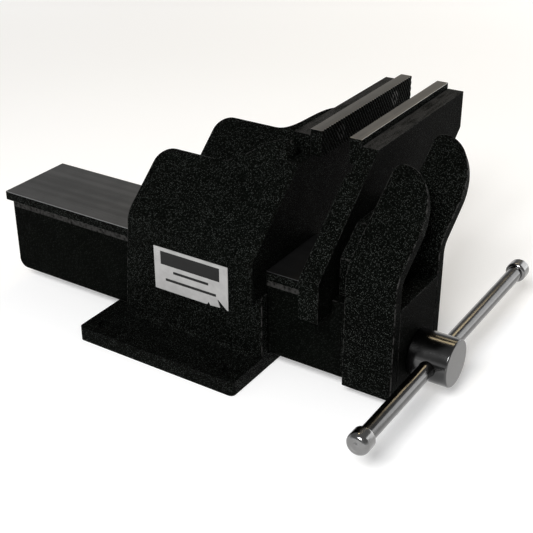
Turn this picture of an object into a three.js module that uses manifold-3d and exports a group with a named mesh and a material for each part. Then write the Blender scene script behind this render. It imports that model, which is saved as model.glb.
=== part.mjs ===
// Offset steel bench vise, in millimetres, +Z up.
//
// The origin is the centre of the base plate's underside. +X runs along the spindle towards the
// handle, and the jaws stand to the +Y side of the slide. "Left" is the -Y side, "right" the +Y side.
//
// Fixed body: base, two bent side plates, jaw plate, keeper, nut. Moving jaw: channel slide, top
// plate, jaw plate, brace, two bent wings, nose. Spindle: screw, head, collar. Handle: bar, knobs.

import * as THREE from 'three';
import { mergeVertices } from 'three/addons/utils/BufferGeometryUtils.js';
import Module from 'manifold-3d';

const wasm = await Module();
wasm.setup();

// ---- Clearances -----------------------------------------------------------------------------

const gap = 0.3;              // between pieces that are welded, screwed or seated together
const slidingFit = 0.5;       // between the slide and what guides it
const runningFit = 0.35;      // round a shaft that turns or slides in its hole

// ---- Base plate -----------------------------------------------------------------------------

const baseLength = 150;
const baseWidth = 170;
const baseThickness = 12;
const baseCornerRadius = 4;
const boltHoleDiameter = 11;
const boltInset = 14.5;       // hole centre from both edges of the plate

// ---- Slide ----------------------------------------------------------------------------------

const slideWidth = 70;
const slideHeight = 63.5;
const slideWall = 6;
const slideRear = -187.5;
const slideCornerRadius = 8;  // lower rear corners of the channel's walls
const topPlateThickness = 8;
const topPlateLip = 1.3;      // overhang past each side of the channel
const topPlateRearLip = 6.5;

// ---- Jaws -----------------------------------------------------------------------------------

const jawWidth = 150;
const jawOffset = 102.5;      // middle of the jaws from the middle of the slide
const jawOpening = 23;        // at rest
const faceOverhang = 7;       // fixed gripping face past the base's front edge
const jawPlateThickness = 16;
const jawPlateTop = 170;
const jawFarEdge = 31;        // height of the upright far end of a jaw plate
const tabReach = 20.5;        // near tab past the slide's side
const tabTop = 98.5;
const tabBottom = 66;
const insertThickness = 10;
const insertHeight = 21;
const insertProud = 5;        // above the top of its plate
const rebateDepth = 2;        // seat of the insert in its plate
const insertScrewSpacing = 90;

// ---- Side plates of the fixed body ----------------------------------------------------------

const sideThickness = 8;
const sideFootRear = -58;
const sideBackRear = -50;
const sideInset = 4;          // sloping face behind the edge of the jaw plate
const sideBackRise = 62;      // along the slope, rear part
const sideFrontRise = 92;     // along the slope, at the jaw plate
const sideCorner = 15;
const sideFlatEnd = 6;        // X where the upper edge starts to climb

// ---- Keeper, nut and label ------------------------------------------------------------------

const keeperRear = -44;
const keeperLength = 16;
const keeperHeight = 12;
const nutRear = -48;
const nutLength = 40;
const nutSideClearance = 5;   // to the inside of the slide's channel
const nutHeight = 42;
const nutScrewWall = 1.65;    // of the nut, between its bore and each screw
const labelWidth = 70;
const labelHeight = 37.5;
const labelRear = -25;
const labelBottom = 45;
const labelThickness = 0.5;

// ---- Front of the moving jaw ----------------------------------------------------------------

const braceThickness = 11.4;
const braceInset = 13;        // inside the outer faces of the wings
const braceTop = 125;
const wingThickness = 9;
const wingDepth = 40;
const wingProud = 4;          // outer face past the slide's side
const wingBottom = 9;
const wingBend = 106.5;
const wingSlope = 37.2;       // degrees above level
const wingRise = 91;          // along the slope
const wingCurve = 53;         // of the rise, from where the front edge starts to curve back
const wingCorner = 7;         // upper rear corner
const noseThickness = 14;
const noseTop = 81;

// ---- Spindle and handle ---------------------------------------------------------------------

const spindleHeight = 32;
const spindleRadius = 11;
const journalRadius = 9;
const spindleRear = -170;
const spindleChamfer = 2;
const headRadius = 18.5;
const headLength = 32;
const headChamfer = 2;
const collarRadius = 16;
const collarLength = 10;
const washerThickness = 1.4;
const headSocketDepth = 9;    // how far the journal reaches into the head
const pinRadius = 2.5;
const headPinLean = 33;       // degrees from upright, towards +Y
const handleRadius = 6;
const handleSetBack = 15;     // handle axis behind the head's front face
const handleLength = 277;     // between the middles of the knobs
const handleShift = 20.5;     // bar slid towards +Y at rest
const knobRadius = 8.5;
const knobLength = 15;
const knobSocketDepth = 9;
const knobDome = 3;
const knobRim = 1.2;

// ---- Screws ---------------------------------------------------------------------------------

// Radii of shank and head, depth of the countersunk head, length over all, depth below the face.
const insertScrew = { shank: 3, head: 6, headDepth: 3.5, length: 18, sunk: 0.3 };
const nutScrew = { shank: 4, head: 7.5, headDepth: 4.5, length: 35, sunk: 0.5 };

// ---- Places worked out from the sizes above -------------------------------------------------

const baseFront = baseLength / 2;
const slideSide = slideWidth / 2;
const slideBottom = baseThickness + slidingFit;
const slideTop = slideBottom + slideHeight;
const topPlateSide = slideSide + topPlateLip;
const topPlateBottom = slideTop + gap;
const topPlateTop = topPlateBottom + topPlateThickness;

const fixedFace = baseFront + faceOverhang;
const fixedPlateFront = fixedFace - insertThickness + rebateDepth;
const fixedPlateRear = fixedPlateFront - jawPlateThickness;
const movingFace = fixedFace + jawOpening;
const movingPlateRear = movingFace + insertThickness - rebateDepth;
const movingPlateFront = movingPlateRear + jawPlateThickness;

const jawNear = jawOffset - jawWidth / 2;
const jawFar = jawOffset + jawWidth / 2;
const insertTop = jawPlateTop + insertProud;
const insertBottom = insertTop - insertHeight;
const tabEdge = -(slideSide + tabReach);
const jawSlope = (jawPlateTop - tabTop) / (jawNear - tabEdge);

const guideSide = topPlateSide + slidingFit;
const sideOuter = guideSide + sideThickness;
const sidePitch = guideSide + sideOuter;      // from one side plate to its twin
const sideAngle = Math.atan(jawSlope);
const sideBend = tabTop + jawSlope * (-sideOuter - tabEdge - sideInset);

const wingRear = movingPlateFront + gap + braceThickness + gap;
const wingFront = wingRear + wingDepth;
const wingSpread = slideSide + wingProud;
const wingPitch = 2 * wingSpread - wingThickness;
const wingAngle = THREE.MathUtils.degToRad(wingSlope);
const channelFront = wingRear - gap;

const noseRear = wingFront - noseThickness;
const headRear = wingFront + gap;
const headFront = headRear + headLength;
const washerRear = noseRear - gap - washerThickness;
const collarRear = washerRear - gap - collarLength;
const handleX = headFront - handleSetBack;

const sideNames = ['left', 'right'];
const nutMiddle = nutRear + nutLength / 2;
const nutSide = slideSide - slideWall - nutSideClearance;
const nutScrewPlace = spindleRadius + runningFit + nutScrewWall + nutScrew.shank;
const nutScrewPlaces = [-nutScrewPlace, nutScrewPlace];
const insertScrewHeight = insertBottom + insertHeight / 2;
const insertScrewPlaces = [-1, 1].map((side) => {
  return [jawOffset + side * insertScrewSpacing / 2, insertScrewHeight];
});

// ---- Geometry tools -------------------------------------------------------------------------

const roundSegments = 40;
const axisX = new THREE.Vector3(1, 0, 0);
const axisY = new THREE.Vector3(0, 1, 0);
const axisZ = new THREE.Vector3(0, 0, 1);
const axisBack = new THREE.Vector3(-1, 0, 0);
const axisLeft = new THREE.Vector3(0, -1, 0);
const axisDown = new THREE.Vector3(0, 0, -1);

// A closed geometry as a solid that can be cut and joined.
function toSolid(geometry) {
  const bare = geometry.clone();
  bare.deleteAttribute('normal');
  bare.deleteAttribute('uv');
  const merged = mergeVertices(bare, 1e-4);
  const vertProperties = new Float32Array(merged.attributes.position.array);
  const triVerts = new Uint32Array(merged.index.array);
  return new wasm.Manifold(new wasm.Mesh({ numProp: 3, vertProperties, triVerts }));
}

function toGeometry(solid) {
  const mesh = solid.getMesh();
  const geometry = new THREE.BufferGeometry();
  geometry.setAttribute('position', new THREE.BufferAttribute(mesh.vertProperties, 3));
  geometry.setIndex(new THREE.BufferAttribute(mesh.triVerts, 1));
  geometry.computeVertexNormals();
  return geometry;
}

// An outline in the plane of two directions, pushed along their cross product.
function prism(shape, origin, across, up, depth) {
  const along = new THREE.Vector3().crossVectors(across, up);
  const geometry = new THREE.ExtrudeGeometry(shape, { depth, bevelEnabled: false, curveSegments: 10 });
  geometry.applyMatrix4(new THREE.Matrix4().makeBasis(across, up, along));
  geometry.translate(origin.x, origin.y, origin.z);
  return toSolid(geometry);
}

function polygon(points) {
  return new THREE.Shape(points.map(([u, v]) => new THREE.Vector2(u, v)));
}

// An outline in Y and Z, from one X to another.
function prismAlongX(points, fromX, toX) {
  return prism(polygon(points), new THREE.Vector3(fromX, 0, 0), axisY, axisZ, toX - fromX);
}

// An outline in X and Z, from one Y to another.
function prismAlongY(shape, fromY, toY) {
  return prism(shape, new THREE.Vector3(0, toY, 0), axisX, axisZ, toY - fromY);
}

function block(low, high) {
  const geometry = new THREE.BoxGeometry(high[0] - low[0], high[1] - low[1], high[2] - low[2]);
  geometry.translate((low[0] + high[0]) / 2, (low[1] + high[1]) / 2, (low[2] + high[2]) / 2);
  return toSolid(geometry);
}

// A turned piece: points are [radius, place along the axis], from the axis back to the axis.
function turned(points, axis) {
  const profile = points.map(([radius, along]) => new THREE.Vector2(radius, along));
  const geometry = new THREE.LatheGeometry(profile, roundSegments);
  geometry.applyQuaternion(new THREE.Quaternion().setFromUnitVectors(axisY, axis));
  return toSolid(geometry);
}

function rod(radius, from, to, axis) {
  return turned([[0, from], [radius, from], [radius, to], [0, to]], axis);
}

function moved(solid, x, y, z) {
  return solid.translate([x, y, z]);
}

// ---- Materials ------------------------------------------------------------------------------

function finish(color, roughness, metalness) {
  return () => new THREE.MeshStandardMaterial({ color, roughness, metalness });
}

const blackPaint = finish(0x16171a, 0.55, 0.1);
const groundSteel = finish(0x8a8b88, 0.35, 0.9);
const hardSteel = finish(0x77756f, 0.4, 0.9);
const plainSteel = finish(0x5c5f63, 0.45, 0.9);
const brightPlate = finish(0xc9ccd0, 0.15, 1.0);
const foil = finish(0xd6d8da, 0.3, 0.5);

function piece(name, solid, material) {
  const mesh = new THREE.Mesh(toGeometry(solid), material());
  mesh.name = name;
  return mesh;
}

// ---- Countersunk screws ---------------------------------------------------------------------

// Along an axis, with the flat of the head at zero and the shank on the negative side.
function countersunk(screw, clearance, axis) {
  const head = screw.head + clearance;
  const shank = screw.shank + clearance;
  const neck = -screw.headDepth;
  const tip = -screw.length - clearance;
  return turned([[0, tip], [shank, tip], [shank, neck], [head, 0], [0, 0]], axis);
}

// The hole that a countersunk screw needs, open at the head's side.
function countersink(screw, axis) {
  const mouth = rod(screw.head + gap, -gap / 2, screw.sunk + 1, axis);
  return countersunk(screw, gap, axis).add(mouth);
}

// ---- Fixed body: base and side plates -------------------------------------------------------

function basePlate() {
  const x = baseLength / 2;
  const y = baseWidth / 2;
  const r = baseCornerRadius;
  const outline = new THREE.Shape();
  outline.absarc(x - r, y - r, r, 0, Math.PI / 2);
  outline.absarc(-x + r, y - r, r, Math.PI / 2, Math.PI);
  outline.absarc(-x + r, -y + r, r, Math.PI, 1.5 * Math.PI);
  outline.absarc(x - r, -y + r, r, 1.5 * Math.PI, 2 * Math.PI);
  let plate = prism(outline, new THREE.Vector3(), axisX, axisY, baseThickness);
  const bolt = rod(boltHoleDiameter / 2, -1, baseThickness + 1, axisZ);
  for (const sx of [-1, 1]) {
    for (const sy of [-1, 1]) {
      plate = plate.subtract(moved(bolt, sx * (x - boltInset), sy * (y - boltInset), 0));
    }
  }
  for (const place of nutScrewPlaces) {
    plate = plate.subtract(moved(countersink(nutScrew, axisDown), nutMiddle, place, nutScrew.sunk));
  }
  return plate;
}

// A plate that stands upright and then leans towards +Y. Its lower outline is in X and Z, its
// upper one in X and the distance up the slope. The left faces of both meet at the bend.
function bentPlate(lower, upper, face, bend, angle, thickness) {
  const slope = new THREE.Vector3(0, Math.cos(angle), Math.sin(angle));
  const outward = new THREE.Vector3().crossVectors(axisX, slope);
  const start = new THREE.Vector3(0, face, bend).addScaledVector(outward, -thickness);
  const upright = prismAlongY(lower, face, face + thickness);
  return upright.add(prism(upper, start, axisX, slope, thickness));
}

function sidePlate(pitch) {
  const foot = baseThickness + gap;
  const front = fixedPlateRear - gap;
  const lower = polygon([
    [sideFootRear, foot],
    [baseFront, foot],
    [baseFront, tabBottom - gap],
    [front, tabBottom - gap],
    [front, sideBend],
    [sideBackRear, sideBend],
  ]);
  const climb = front - sideFlatEnd;
  const upper = new THREE.Shape();
  upper.moveTo(sideBackRear, 0);
  upper.lineTo(front, 0);
  upper.lineTo(front, sideFrontRise);
  upper.bezierCurveTo(
    front - climb * 0.45, sideFrontRise,
    sideFlatEnd + climb * 0.4, sideBackRise,
    sideFlatEnd, sideBackRise,
  );
  upper.lineTo(sideBackRear + sideCorner, sideBackRise);
  upper.absarc(sideBackRear + sideCorner, sideBackRise - sideCorner, sideCorner, Math.PI / 2, Math.PI);
  const plate = bentPlate(lower, upper, -sideOuter, sideBend, sideAngle, sideThickness);
  return moved(plate, 0, pitch, 0);
}

function slideKeeper() {
  const bottom = topPlateTop + slidingFit;
  const side = guideSide - gap;
  return block([keeperRear, -side, bottom], [keeperRear + keeperLength, side, bottom + keeperHeight]);
}

// ---- Jaw plates and inserts -----------------------------------------------------------------

// The outline of a jaw plate in Y and Z, from the near top corner round to the near tab and back.
function jawOutline(notchSide, notchTop, nearTop) {
  const farDrop = jawPlateTop - jawFarEdge;
  const farFoot = jawFar - (farDrop - tabBottom) / jawSlope;
  return [
    [jawFar, jawPlateTop],
    ...nearTop,
    [tabEdge, tabTop],
    [tabEdge, tabBottom],
    [-notchSide, tabBottom],
    [-notchSide, notchTop],
    [notchSide, notchTop],
    [notchSide, tabBottom],
    [farFoot, tabBottom],
    [jawFar, farDrop],
  ];
}

// The seat that is milled across a plate for its insert, from one X to another.
function rebate(fromX, toX) {
  return block([fromX, tabEdge, insertBottom - gap], [toX, jawFar + 1, insertTop]);
}

function cutScrewHoles(solid, faceX, axis) {
  let cut = solid;
  const hole = countersink(insertScrew, axis);
  for (const [y, z] of insertScrewPlaces) {
    cut = cut.subtract(moved(hole, faceX, y, z));
  }
  return cut;
}

function fixedJawPlate() {
  const shoulder = insertBottom - gap;
  const nearTop = [
    [jawNear, jawPlateTop],
    [jawNear, shoulder],
    [jawNear - (jawPlateTop - shoulder) / jawSlope, shoulder],
  ];
  const outline = jawOutline(guideSide, topPlateTop + slidingFit, nearTop);
  const plate = prismAlongX(outline, fixedPlateRear, fixedPlateFront);
  const seat = rebate(fixedPlateFront - rebateDepth - gap, fixedPlateFront + 1);
  return cutScrewHoles(plate.subtract(seat), fixedFace - insertScrew.sunk, axisX);
}

function movingJawPlate() {
  const outline = jawOutline(slideSide + gap, slideTop + gap, [[jawNear, jawPlateTop]]);
  const plate = prismAlongX(outline, movingPlateRear, movingPlateFront);
  const seat = rebate(movingPlateRear - 1, movingPlateRear + rebateDepth + gap);
  return cutScrewHoles(plate.subtract(seat), movingFace + insertScrew.sunk, axisBack);
}

function jawInsert(fromX, faceX, axis) {
  const low = [Math.min(fromX, faceX), jawNear, insertBottom];
  const high = [Math.max(fromX, faceX), jawFar, insertTop];
  const sunk = faceX - Math.sign(faceX - fromX) * insertScrew.sunk;
  return cutScrewHoles(block(low, high), sunk, axis);
}

// ---- Nut and label --------------------------------------------------------------------------

function spindleNut() {
  const foot = baseThickness + gap;
  const low = [nutRear, -nutSide, foot];
  const high = [nutRear + nutLength, nutSide, foot + nutHeight];
  const bore = rod(spindleRadius + runningFit, nutRear - 1, nutRear + nutLength + 1, axisX);
  let nut = block(low, high).subtract(moved(bore, 0, 0, spindleHeight));
  for (const place of nutScrewPlaces) {
    nut = nut.subtract(moved(countersunk(nutScrew, gap, axisDown), nutMiddle, place, nutScrew.sunk));
  }
  return nut;
}

function labelPlate() {
  const face = -sideOuter - gap;
  const low = [labelRear, face - labelThickness, labelBottom];
  return block(low, [labelRear + labelWidth, face, labelBottom + labelHeight]);
}

// ---- Moving jaw: slide, brace, wings and nose -----------------------------------------------

function slideChannel() {
  const r = slideCornerRadius;
  const side = new THREE.Shape();
  side.moveTo(slideRear, slideTop);
  side.lineTo(slideRear, slideBottom + r);
  side.absarc(slideRear + r, slideBottom + r, r, Math.PI, 1.5 * Math.PI);
  side.lineTo(channelFront, slideBottom);
  side.lineTo(channelFront, slideTop);
  const inner = slideSide - slideWall;
  const hollow = block([slideRear - 1, -inner, 0], [channelFront + 1, inner, slideTop - slideWall]);
  return prismAlongY(side, -slideSide, slideSide).subtract(hollow);
}

function slideTopPlate() {
  const low = [slideRear - topPlateRearLip, -topPlateSide, topPlateBottom];
  return block(low, [movingPlateRear - gap, topPlateSide, topPlateTop]);
}

function jawBracePlate() {
  const side = wingSpread - braceInset;
  const lean = (braceTop - wingBend) / Math.tan(wingAngle);
  const outline = [
    [-side, slideTop + gap],
    [side, slideTop + gap],
    [side, wingBend],
    [side + lean, braceTop],
    [-side + lean, braceTop],
    [-side, wingBend],
  ];
  return prismAlongX(outline, movingPlateFront + gap, wingRear - gap);
}

function jawWing(pitch) {
  const lower = polygon([
    [wingRear, wingBottom],
    [wingFront, wingBottom],
    [wingFront, wingBend],
    [wingRear, wingBend],
  ]);
  const upper = new THREE.Shape();
  upper.moveTo(wingRear, 0);
  upper.lineTo(wingFront, 0);
  const cornerX = wingRear + wingCorner;
  upper.absellipse(cornerX, wingRise - wingCurve, wingDepth - wingCorner, wingCurve, 0, Math.PI / 2);
  upper.absarc(cornerX, wingRise - wingCorner, wingCorner, Math.PI / 2, Math.PI);
  const wing = bentPlate(lower, upper, -wingSpread, wingBend, wingAngle, wingThickness);
  return moved(wing, 0, pitch, 0);
}

function nosePlate() {
  const side = wingSpread - wingThickness - gap;
  const plate = block([noseRear, -side, wingBottom], [wingFront, side, noseTop]);
  const bore = rod(journalRadius + runningFit, noseRear - 1, wingFront + 1, axisX);
  return plate.subtract(moved(bore, 0, 0, spindleHeight));
}

// ---- Spindle, about its own axis ------------------------------------------------------------

function crossHole(radius, x, axis) {
  const reach = headRadius + 1;
  return moved(rod(radius, -reach, reach, axis), x, 0, 0);
}

const headPinX = headRear + headSocketDepth / 2;
const collarPinX = collarRear + collarLength / 2;
const headPinAxis = axisZ.clone().applyAxisAngle(axisX, -THREE.MathUtils.degToRad(headPinLean));

function spindle() {
  const shoulder = collarRear - gap;
  const shaft = turned([
    [0, spindleRear],
    [spindleRadius - spindleChamfer, spindleRear],
    [spindleRadius, spindleRear + spindleChamfer],
    [spindleRadius, shoulder],
    [journalRadius, shoulder],
    [journalRadius, headRear + headSocketDepth],
    [0, headRear + headSocketDepth],
  ], axisX);
  return shaft
    .subtract(crossHole(pinRadius + gap, headPinX, headPinAxis))
    .subtract(crossHole(pinRadius + gap, collarPinX, axisZ));
}

function spindleHead() {
  const chamfered = headRadius - headChamfer;
  const head = turned([
    [0, headRear],
    [chamfered, headRear],
    [headRadius, headRear + headChamfer],
    [headRadius, headFront - headChamfer],
    [chamfered, headFront],
    [0, headFront],
  ], axisX);
  return head
    .subtract(rod(journalRadius + gap, headRear - 1, headRear + headSocketDepth + gap, axisX))
    .subtract(crossHole(handleRadius + runningFit, handleX, axisY))
    .subtract(crossHole(pinRadius + gap, headPinX, headPinAxis));
}

function retainingCollar() {
  return rod(collarRadius, collarRear, collarRear + collarLength, axisX)
    .subtract(rod(journalRadius + gap, collarRear - 1, collarRear + collarLength + 1, axisX))
    .subtract(crossHole(pinRadius + gap, collarPinX, axisZ));
}

function thrustWasher() {
  return rod(collarRadius, washerRear, washerRear + washerThickness, axisX)
    .subtract(rod(journalRadius + gap, washerRear - 1, washerRear + washerThickness + 1, axisX));
}

function crossPin(x, reach, axis) {
  return moved(rod(pinRadius, -reach, reach, axis), x, 0, 0);
}

// ---- Handle, about the head's cross hole ----------------------------------------------------

const halfBar = handleLength / 2 - knobLength / 2 + knobSocketDepth - gap;

function handleBar() {
  return rod(handleRadius, handleShift - halfBar, handleShift + halfBar, axisY);
}

// A domed knob whose socket takes the end of the bar; side is -1 for left and 1 for right.
function handleKnob(side) {
  const inner = handleLength / 2 - knobLength / 2;
  const outer = inner + knobLength;
  const profile = [
    [0, inner],
    [knobRadius - knobRim, inner],
    [knobRadius, inner + knobRim],
    [knobRadius, outer - knobDome],
  ];
  for (const turn of [0.35, 0.7]) {
    const angle = turn * Math.PI / 2;
    profile.push([knobRadius * Math.cos(angle), outer - knobDome * (1 - Math.sin(angle))]);
  }
  profile.push([0, outer]);
  const axis = side > 0 ? axisY : axisLeft;
  const socket = rod(handleRadius + gap, inner - 1, inner + knobSocketDepth, axis);
  return moved(turned(profile, axis).subtract(socket), 0, handleShift, 0);
}

// ---- Assembly -------------------------------------------------------------------------------

function insertScrews(group, prefix, faceX, axis) {
  insertScrewPlaces.forEach(([y, z], index) => {
    const screw = countersunk(insertScrew, 0, axis);
    const mesh = piece(`${prefix}_insert_screw_${sideNames[index]}`, screw, plainSteel);
    mesh.position.set(faceX, y, z);
    group.add(mesh);
  });
}

function fixedBody() {
  const body = new THREE.Group();
  const inside = fixedPlateFront - rebateDepth;
  body.add(piece('base_plate', basePlate(), blackPaint));
  body.add(piece('side_plate_left', sidePlate(0), blackPaint));
  body.add(piece('side_plate_right', sidePlate(sidePitch), blackPaint));
  body.add(piece('slide_keeper', slideKeeper(), blackPaint));
  body.add(piece('fixed_jaw_plate', fixedJawPlate(), blackPaint));
  body.add(piece('fixed_jaw_insert', jawInsert(inside, fixedFace, axisX), hardSteel));
  insertScrews(body, 'fixed', fixedFace - insertScrew.sunk, axisX);
  body.add(piece('spindle_nut', spindleNut(), plainSteel));
  nutScrewPlaces.forEach((place, index) => {
    const mesh = piece(`nut_screw_${sideNames[index]}`, countersunk(nutScrew, 0, axisDown), plainSteel);
    mesh.position.set(nutMiddle, place, nutScrew.sunk);
    body.add(mesh);
  });
  body.add(piece('label_plate', labelPlate(), foil));
  return body;
}

function movingJaw() {
  const body = new THREE.Group();
  const inside = movingPlateRear + rebateDepth;
  body.add(piece('slide_channel', slideChannel(), blackPaint));
  body.add(piece('slide_top_plate', slideTopPlate(), groundSteel));
  body.add(piece('moving_jaw_plate', movingJawPlate(), blackPaint));
  body.add(piece('moving_jaw_insert', jawInsert(inside, movingFace, axisBack), hardSteel));
  insertScrews(body, 'moving', movingFace + insertScrew.sunk, axisBack);
  body.add(piece('jaw_brace_plate', jawBracePlate(), blackPaint));
  body.add(piece('jaw_wing_left', jawWing(0), blackPaint));
  body.add(piece('jaw_wing_right', jawWing(wingPitch), blackPaint));
  body.add(piece('nose_plate', nosePlate(), blackPaint));
  return body;
}

function spindleAssembly() {
  const body = new THREE.Group();
  body.position.z = spindleHeight;
  body.add(piece('spindle', spindle(), plainSteel));
  body.add(piece('spindle_head', spindleHead(), brightPlate));
  body.add(piece('head_pin', crossPin(headPinX, headRadius - 1, headPinAxis), plainSteel));
  body.add(piece('retaining_collar', retainingCollar(), plainSteel));
  body.add(piece('collar_pin', crossPin(collarPinX, collarRadius - 1, axisZ), plainSteel));
  body.add(piece('thrust_washer', thrustWasher(), plainSteel));
  return body;
}

function handle() {
  const body = new THREE.Group();
  body.position.set(handleX, 0, spindleHeight);
  body.add(piece('handle_bar', handleBar(), brightPlate));
  body.add(piece('handle_knob_left', handleKnob(-1), brightPlate));
  body.add(piece('handle_knob_right', handleKnob(1), brightPlate));
  return body;
}

const group = new THREE.Group();
group.add(fixedBody(), movingJaw(), spindleAssembly(), handle());

export default group;
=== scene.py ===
"""Looks of an offset steel bench vise: black sparkle paint, ground tops, bright plated spindle head.

The sections follow the vise as it is put together, from the bolted base to the handle's knobs.
Everything is in metres. +X runs along the spindle to the handle, and the jaws stand towards +Y.
"""

import math

import bmesh
import bpy
from mathutils import Matrix, Vector


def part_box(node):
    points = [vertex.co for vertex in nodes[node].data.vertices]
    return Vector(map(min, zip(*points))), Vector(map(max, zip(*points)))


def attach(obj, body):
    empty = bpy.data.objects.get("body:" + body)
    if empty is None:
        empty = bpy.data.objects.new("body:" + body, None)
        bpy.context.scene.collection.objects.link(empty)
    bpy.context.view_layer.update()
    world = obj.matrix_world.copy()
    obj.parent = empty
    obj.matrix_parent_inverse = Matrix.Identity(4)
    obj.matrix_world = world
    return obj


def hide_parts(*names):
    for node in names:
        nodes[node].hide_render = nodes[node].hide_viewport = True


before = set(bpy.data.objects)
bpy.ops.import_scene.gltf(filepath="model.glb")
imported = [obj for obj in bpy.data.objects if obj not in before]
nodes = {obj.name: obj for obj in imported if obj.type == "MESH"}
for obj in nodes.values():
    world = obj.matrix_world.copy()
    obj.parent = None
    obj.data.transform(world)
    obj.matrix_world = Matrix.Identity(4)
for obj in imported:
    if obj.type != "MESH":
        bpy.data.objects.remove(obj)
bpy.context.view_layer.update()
scene = bpy.context.scene


# ---- Camera ---------------------------------------------------------------------------------
# It stands off the handle's side of the vise, a little above the jaws, and looks down the slide
# with a long lens, so that both jaws, the label and the whole handle are seen.

camera_place = Vector((0.45207, -0.62376, 0.46630))
camera_turn = math.radians(34.4)
camera_height = math.radians(28.1)
camera_roll = math.radians(-0.9)

backwards = Vector((
    math.sin(camera_turn) * math.cos(camera_height),
    -math.cos(camera_turn) * math.cos(camera_height),
    math.sin(camera_height),
))
level = Vector((math.cos(camera_turn), math.sin(camera_turn), 0.0))
upright = backwards.cross(level)
across = level * math.cos(camera_roll) + upright * math.sin(camera_roll)
upwards = upright * math.cos(camera_roll) - level * math.sin(camera_roll)

camera_data = bpy.data.cameras.new("camera")
camera_data.sensor_width = 36.0
camera_data.lens = 72.7
camera_data.shift_x = 0.0505
camera_data.shift_y = -0.0113
camera_data.clip_end = 20.0
camera = bpy.data.objects.new("camera", camera_data)
camera.matrix_world = Matrix((
    (across.x, upwards.x, backwards.x, camera_place.x),
    (across.y, upwards.y, backwards.y, camera_place.y),
    (across.z, upwards.z, backwards.z, camera_place.z),
    (0.0, 0.0, 0.0, 1.0),
))
scene.collection.objects.link(camera)
scene.camera = camera
scene.view_settings.view_transform = "Standard"


# ---- Floor and lights -----------------------------------------------------------------------
# A white table top in a grey room, which leaves dark bands in the plated bar. The key light stands
# on the label's side and a weak fill opposite. Two small warm lamps behind the vise stand where the
# head and the bar mirror them.


class Field:
    """A value inside a node tree that is added, multiplied and compared like a number."""

    def __init__(self, maker, socket):
        self.maker = maker
        self.socket = socket

    def maths(self, operation, *values):
        return self.maker.node("ShaderNodeMath", {"operation": operation}, dict(enumerate(values)))

    def __add__(self, other):
        return self.maths("ADD", self, other)

    def __sub__(self, other):
        return self.maths("SUBTRACT", self, other)

    def __rsub__(self, other):
        return self.maths("SUBTRACT", other, self)

    def __mul__(self, other):
        return self.maths("MULTIPLY", self, other)

    def __truediv__(self, other):
        return self.maths("DIVIDE", self, other)

    def __gt__(self, other):
        return self.maths("GREATER_THAN", self, other)

    def __lt__(self, other):
        return self.maths("LESS_THAN", self, other)

    __radd__ = __add__


class Maker:
    """Adds nodes to a tree: their settings first, then the values and links of their sockets."""

    def __init__(self, tree):
        self.tree = tree

    def node(self, kind, settings=None, sockets=None, out=0):
        node = self.tree.nodes.new(kind)
        for name, value in (settings or {}).items():
            setattr(node, name, value)
        for name, value in (sockets or {}).items():
            if isinstance(value, Field):
                self.tree.links.new(value.socket, node.inputs[name])
            else:
                node.inputs[name].default_value = value
        return Field(self, node.outputs[out])


class Finish(Maker):
    """One paint or metal of the vise, as a material whose patterns are in metres."""

    def __init__(self, name):
        self.material = bpy.data.materials.new(name)
        self.material.use_nodes = True
        super().__init__(self.material.node_tree)
        self.shader = self.tree.nodes["Principled BSDF"]
        self.place = self.node("ShaderNodeTexCoord", out="Object")

    def surface(self, sockets):
        for name, value in sockets.items():
            socket = self.shader.inputs[name]
            if isinstance(value, Field):
                self.tree.links.new(value.socket, socket)
            else:
                socket.default_value = value

    def stretched(self, scale):
        return self.node("ShaderNodeMapping", None, {"Vector": self.place, "Scale": scale})

    def grain(self, size, stretch=(1.0, 1.0, 1.0), detail=2.0):
        """Cloudy noise from 0 to 1 whose lumps are about size across, longer where stretch is more."""
        scale = tuple(1.0 / (size * s) for s in stretch)
        sockets = {"Vector": self.stretched(scale), "Scale": 1.0, "Detail": detail}
        return self.node("ShaderNodeTexNoise", None, sockets, "Fac")

    def ramp(self, value, low, high):
        """0 below low, 1 above high, and a smooth step between."""
        sockets = {"Value": value, "From Min": low, "From Max": high}
        return self.node("ShaderNodeMapRange", {"interpolation_type": "SMOOTHSTEP"}, sockets)

    def mix(self, factor, a, b):
        """Colour a where factor is 0 and colour b where it is 1."""
        return self.node("ShaderNodeMix", {"data_type": "RGBA"}, {0: factor, 6: a, 7: b}, 2)

    def bump(self, height, depth, strength=1.0):
        sockets = {"Height": height, "Distance": depth, "Strength": strength}
        self.surface({"Normal": self.node("ShaderNodeBump", None, sockets)})


def grey(value, warmth=0.0):
    """A linear grey; warmth adds red and takes blue."""
    return (value * (1 + warmth), value, value * (1 - warmth), 1.0)


table = Finish("table_top")
table.surface({"Base Color": table.mix(table.grain(0.4), grey(0.78), grey(0.82)), "Roughness": 0.7})
far_away = table.node("ShaderNodeVectorMath", {"operation": "LENGTH"}, {0: table.place}, "Value")
glow = table.mix(table.ramp(far_away, 0.6, 2.4), grey(0.26), grey(0.80))
table.surface({"Emission Color": glow, "Emission Strength": 1.0})
table_size = 6.0
table_drop = 0.0002
table_mesh = bpy.data.meshes.new("table_top")
table_corners = [(-1, -1), (1, -1), (1, 1), (-1, 1)]
table_corners = [(x * table_size, y * table_size, -table_drop) for x, y in table_corners]
table_mesh.from_pydata(table_corners, [], [(0, 1, 2, 3)])
table_mesh.materials.append(table.material)
table_top = bpy.data.objects.new("table_top", table_mesh)
scene.collection.objects.link(table_top)

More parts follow.
